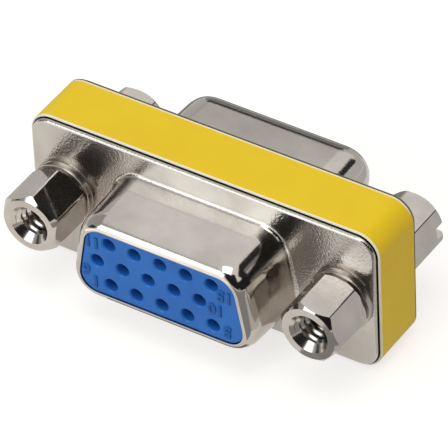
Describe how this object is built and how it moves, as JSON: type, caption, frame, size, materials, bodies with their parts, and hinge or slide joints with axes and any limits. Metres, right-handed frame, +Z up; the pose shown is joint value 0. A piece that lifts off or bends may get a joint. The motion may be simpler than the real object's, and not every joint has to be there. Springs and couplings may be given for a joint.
{
  "type": "d-sub gender changer",
  "caption": "Back-to-back female D-connector coupler in drawn metal shells with a coloured band, slotted jackscrews and threaded hex standoffs.",
  "frame": {"origin": "under the middle of the band that the part stands on", "axes": "+X along the long side, -Y out of the first face (hex standoffs with lock washers), +Y out of the second face (slotted jackscrews), +Z up"},
  "size_m": [0.031, 0.0176, 0.013],
  "materials": {
    "nickel_shell": "nickel-plated drawn sheet",
    "nickel_hardware": "nickel-plated turned steel",
    "spring_steel": "plated spring steel",
    "yellow_band": "smooth glossy yellow",
    "blue_insulator": "moulded blue, satin",
    "board": "glass-fibre board",
    "contact_metal": "gold-flashed"
  },
  "bodies": {
    "root": {"crossover_board": "board", "front_contact_01": "contact_metal", "front_contact_02": "contact_metal", "front_contact_03": "contact_metal", "front_contact_04": "contact_metal", "front_contact_05": "contact_metal", "front_contact_06": "contact_metal", "front_contact_07": "contact_metal", "front_contact_08": "contact_metal", "front_contact_09": "contact_metal", "front_contact_10": "contact_metal", "front_contact_11": "contact_metal", "front_contact_12": "contact_metal", "front_contact_13": "contact_metal", "front_contact_14": "contact_metal", "front_contact_15": "contact_metal", "front_insulator": "blue_insulator", "front_shell": "nickel_shell", "front_standoff_left": "nickel_hardware", "front_standoff_right": "nickel_hardware", "label_band": "yellow_band", "lock_washer_left": "spring_steel", "lock_washer_right": "spring_steel", "rear_contact_01": "contact_metal", "rear_contact_02": "contact_metal", "rear_contact_03": "contact_metal", "rear_contact_04": "contact_metal", "rear_contact_05": "contact_metal", "rear_contact_06": "contact_metal", "rear_contact_07": "contact_metal", "rear_contact_08": "contact_metal", "rear_contact_09": "contact_metal", "rear_contact_10": "contact_metal", "rear_contact_11": "contact_metal", "rear_contact_12": "contact_metal", "rear_contact_13": "contact_metal", "rear_contact_14": "contact_metal", "rear_contact_15": "contact_metal", "rear_insulator": "blue_insulator", "rear_jackscrew_left": "nickel_hardware", "rear_jackscrew_right": "nickel_hardware", "rear_shell": "nickel_shell"}
  },
  "joints": []
}
